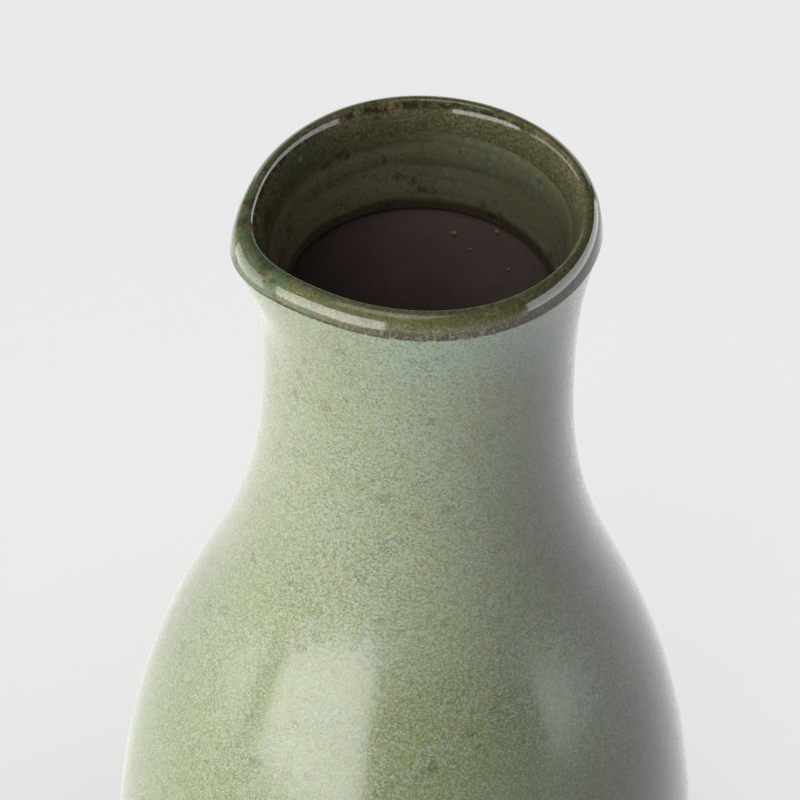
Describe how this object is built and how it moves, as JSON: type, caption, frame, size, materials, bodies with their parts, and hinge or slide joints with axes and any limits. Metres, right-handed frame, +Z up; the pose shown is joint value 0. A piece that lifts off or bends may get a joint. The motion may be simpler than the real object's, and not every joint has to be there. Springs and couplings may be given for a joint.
{
  "type": "sake bottle",
  "caption": "Pear-shaped stoneware bottle with a slim neck and a rounded lip drawn out into a small pouring spout, glazed outside and in the throat.",
  "frame": {"origin": "centre of the foot on the table", "axes": "+Z up along the bottle's axis, -X towards the pouring spout"},
  "size_m": [0.0826, 0.0826, 0.17],
  "materials": {
    "bare_clay": "matte, bare brown stoneware",
    "sage_glaze": "satin gloss, pale sage green with fine turquoise and yellow-green grains",
    "olive_lip_glaze": "gloss, dark olive green that breaks to brown on the edges",
    "olive_throat_glaze": "gloss, dark mottled olive green",
    "amber_splash": "gloss, amber yellow"
  },
  "bodies": {
    "root": {"clay_body": "bare_clay", "outer_glaze": "sage_glaze", "lip_glaze": "olive_lip_glaze", "throat_glaze": "olive_throat_glaze", "glaze_spatter": "amber_splash"}
  },
  "joints": []
}
